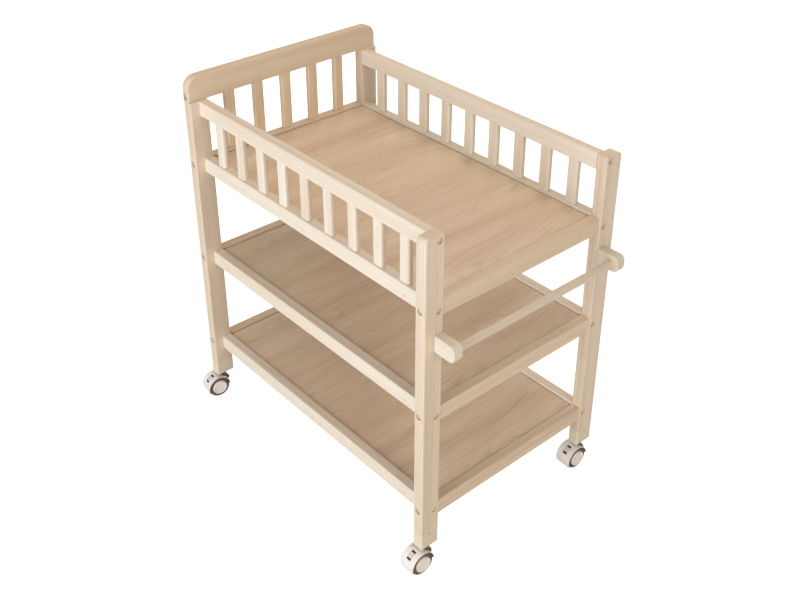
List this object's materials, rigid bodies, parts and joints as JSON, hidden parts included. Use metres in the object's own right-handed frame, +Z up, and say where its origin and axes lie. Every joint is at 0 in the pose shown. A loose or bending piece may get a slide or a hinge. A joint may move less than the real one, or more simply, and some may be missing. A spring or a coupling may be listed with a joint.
{
  "type": "baby changing trolley",
  "caption": "Pine changing trolley: a railed deck with slatted sides and headboard over open shelves, a towel bar, and hooded twin-wheel casters with brake levers.",
  "frame": {"origin": "on the floor, under the middle of the overall box", "axes": "+Z up; +X towards the towel bar end; -Y is the long side that the casters trail to"},
  "size_m": [0.9558, 0.624, 0.965],
  "materials": {
    "pine": "clear matt lacquer on solid pine",
    "panel_board": "clear matt lacquer on pine board with open grain",
    "zinc_steel": "zinc plated",
    "grey_plastic": "moulded, matt",
    "white_plastic": "moulded, satin",
    "beige_plastic": "moulded, satin",
    "wheel": "soft tread moulded on a pale plastic wheel",
    "beige_screw": "steel screws painted to match the wood"
  },
  "bodies": {
    "frame": {"post_front_foot": "pine", "post_back_foot": "pine", "post_front_head": "pine", "post_back_head": "pine", "foot_blocks": "pine", "deck_front_rail": "pine", "deck_back_rail": "pine", "deck_head_rail": "pine", "deck_foot_rail": "pine", "deck_panel": "panel_board", "middle_shelf_front_rail": "pine", "middle_shelf_back_rail": "pine", "middle_shelf_head_rail": "pine", "middle_shelf_foot_rail": "pine", "middle_shelf_panel": "panel_board", "bottom_shelf_front_rail": "pine", "bottom_shelf_back_rail": "pine", "bottom_shelf_head_rail": "pine", "bottom_shelf_foot_rail": "pine", "bottom_shelf_panel": "panel_board", "guard_rail_front": "pine", "guard_rail_back": "pine", "guard_slats_front": "pine", "guard_slats_back": "pine", "headboard_rail": "pine", "headboard_slats": "pine", "panel_cleats": "pine", "towel_bracket_front": "pine", "towel_bracket_back": "pine", "towel_bar": "pine", "frame_screws": "beige_screw", "headboard_studs": "zinc_steel", "headboard_nuts": "beige_screw", "caster_stems": "zinc_steel"},
    "caster_front_foot": {"caster_front_foot_fork": "grey_plastic", "caster_front_foot_hood": "white_plastic", "caster_front_foot_axle": "zinc_steel"},
    "wheel_left_front_foot": {"caster_front_foot_wheel_left": "wheel"},
    "wheel_right_front_foot": {"caster_front_foot_wheel_right": "wheel"},
    "brake_front_foot": {"caster_front_foot_brake_lever": "beige_plastic"},
    "caster_back_foot": {"caster_back_foot_fork": "grey_plastic", "caster_back_foot_hood": "white_plastic", "caster_back_foot_axle": "zinc_steel"},
    "wheel_left_back_foot": {"caster_back_foot_wheel_left": "wheel"},
    "wheel_right_back_foot": {"caster_back_foot_wheel_right": "wheel"},
    "brake_back_foot": {"caster_back_foot_brake_lever": "beige_plastic"},
    "caster_front_head": {"caster_front_head_fork": "grey_plastic", "caster_front_head_hood": "white_plastic", "caster_front_head_axle": "zinc_steel"},
    "wheel_left_front_head": {"caster_front_head_wheel_left": "wheel"},
    "wheel_right_front_head": {"caster_front_head_wheel_right": "wheel"},
    "brake_front_head": {"caster_front_head_brake_lever": "beige_plastic"},
    "caster_back_head": {"caster_back_head_fork": "grey_plastic", "caster_back_head_hood": "white_plastic", "caster_back_head_axle": "zinc_steel"},
    "wheel_left_back_head": {"caster_back_head_wheel_left": "wheel"},
    "wheel_right_back_head": {"caster_back_head_wheel_right": "wheel"},
    "brake_back_head": {"caster_back_head_brake_lever": "beige_plastic"}
  },
  "joints": [
    {"name": "swivel_front_foot", "type": "hinge", "parent": "frame", "child": "caster_front_foot", "pos_m": [0.40292, -0.25248, 0.07], "axis": [0, 0, 1], "continuous": true},
    {"name": "wheel_left_spin_front_foot", "type": "hinge", "parent": "caster_front_foot", "child": "wheel_left_front_foot", "pos_m": [0.40245, -0.27698, 0.03], "axis": [0.9998, -0.0192, 0], "continuous": true},
    {"name": "wheel_right_spin_front_foot", "type": "hinge", "parent": "caster_front_foot", "child": "wheel_right_front_foot", "pos_m": [0.40245, -0.27698, 0.03], "axis": [0.9998, -0.0192, 0], "continuous": true},
    {"name": "brake_front_foot", "type": "hinge", "parent": "caster_front_foot", "child": "brake_front_foot", "pos_m": [0.40223, -0.28873, 0.04618], "axis": [0.9998, -0.0192, 0], "range_deg": [0, 12]},
    {"name": "swivel_back_foot", "type": "hinge", "parent": "frame", "child": "caster_back_foot", "pos_m": [0.40292, 0.28652, 0.07], "axis": [0, 0, 1], "continuous": true},
    {"name": "wheel_left_spin_back_foot", "type": "hinge", "parent": "caster_back_foot", "child": "wheel_left_back_foot", "pos_m": [0.40224, 0.26203, 0.03], "axis": [0.9996, -0.0279, 0], "continuous": true},
    {"name": "wheel_right_spin_back_foot", "type": "hinge", "parent": "caster_back_foot", "child": "wheel_right_back_foot", "pos_m": [0.40224, 0.26203, 0.03], "axis": [0.9996, -0.0279, 0], "continuous": true},
    {"name": "brake_back_foot", "type": "hinge", "parent": "caster_back_foot", "child": "brake_back_foot", "pos_m": [0.40191, 0.25028, 0.04618], "axis": [0.9996, -0.0279, 0], "range_deg": [0, 12]},
    {"name": "swivel_front_head", "type": "hinge", "parent": "frame", "child": "caster_front_head", "pos_m": [-0.44908, -0.25248, 0.07], "axis": [0, 0, 1], "continuous": true},
    {"name": "wheel_left_spin_front_head", "type": "hinge", "parent": "caster_front_head", "child": "wheel_left_front_head", "pos_m": [-0.45181, -0.27683, 0.03], "axis": [0.9938, -0.1115, 0], "continuous": true},
    {"name": "wheel_right_spin_front_head", "type": "hinge", "parent": "caster_front_head", "child": "wheel_right_front_head", "pos_m": [-0.45181, -0.27683, 0.03], "axis": [0.9938, -0.1115, 0], "continuous": true},
    {"name": "brake_front_head", "type": "hinge", "parent": "caster_front_head", "child": "brake_front_head", "pos_m": [-0.45312, -0.28851, 0.04618], "axis": [0.9938, -0.1115, 0], "range_deg": [0, 12]},
    {"name": "swivel_back_head", "type": "hinge", "parent": "frame", "child": "caster_back_head", "pos_m": [-0.44908, 0.28652, 0.07], "axis": [0, 0, 1], "continuous": true},
    {"name": "wheel_left_spin_back_head", "type": "hinge", "parent": "caster_back_head", "child": "wheel_left_back_head", "pos_m": [-0.45036, 0.26205, 0.03], "axis": [0.9986, -0.0523, 0], "continuous": true},
    {"name": "wheel_right_spin_back_head", "type": "hinge", "parent": "caster_back_head", "child": "wheel_right_back_head", "pos_m": [-0.45036, 0.26205, 0.03], "axis": [0.9986, -0.0523, 0], "continuous": true},
    {"name": "brake_back_head", "type": "hinge", "parent": "caster_back_head", "child": "brake_back_head", "pos_m": [-0.45097, 0.25031, 0.04618], "axis": [0.9986, -0.0523, 0], "range_deg": [0, 12]}
  ]
}
